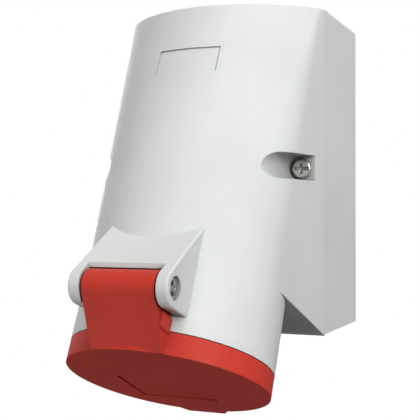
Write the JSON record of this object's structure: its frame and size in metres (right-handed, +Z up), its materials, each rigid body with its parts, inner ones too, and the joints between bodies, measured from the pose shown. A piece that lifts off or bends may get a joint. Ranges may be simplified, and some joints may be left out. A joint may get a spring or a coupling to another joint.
{
  "type": "industrial wall socket",
  "caption": "Surface-mounted industrial socket outlet: box base, leaning barrel hood, sprung hinged lid, collar, contacts and cable entries.",
  "frame": {"origin": "centre of the flat back of the base, on the wall", "axes": "+Z up the wall, +Y into the wall, +X to the right for a person facing the socket; the barrel leans out 25.9 degrees from straight down"},
  "size_m": [0.095, 0.167, 0.1802],
  "materials": {
    "housing_hood": "fine moulded grain",
    "housing_base": "fine moulded grain",
    "lid_plastic": "satin",
    "collar_plastic": "satin",
    "carrier_plastic": "matt",
    "seal_rubber": "matt",
    "grommet_rubber": "matt",
    "screw_steel": "zinc plated",
    "spring_steel": "drawn wire and strip",
    "contact_brass": "plain"
  },
  "bodies": {
    "housing": {"base": "housing_base", "hood": "housing_hood", "hood_gasket": "seal_rubber", "hood_screw_left": "screw_steel", "hood_screw_right": "screw_steel", "cable_grommet": "grommet_rubber", "blanking_plug": "housing_base", "collar": "collar_plastic", "contact_carrier": "carrier_plastic", "terminal_carrier": "carrier_plastic", "contact_earth": "contact_brass", "contact_l1": "contact_brass", "contact_l2": "contact_brass", "contact_l3": "contact_brass", "contact_neutral": "contact_brass", "sleeve_springs": "spring_steel", "terminal_screws": "screw_steel", "carrier_screws": "screw_steel", "hinge_pin": "screw_steel", "hinge_pin_clip": "spring_steel", "hinge_spring": "spring_steel"},
    "lid": {"lid": "lid_plastic", "lid_gasket": "seal_rubber"}
  },
  "joints": [
    {"name": "lid_hinge", "type": "hinge", "parent": "housing", "child": "lid", "pos_m": [0, -0.15978, -0.0463], "axis": [-1, 0, 0], "range_deg": [0, 130], "stiffness_Nm_per_rad": 0.03, "springref_deg": -85.94, "deforming": ["hinge_spring"]}
  ]
}
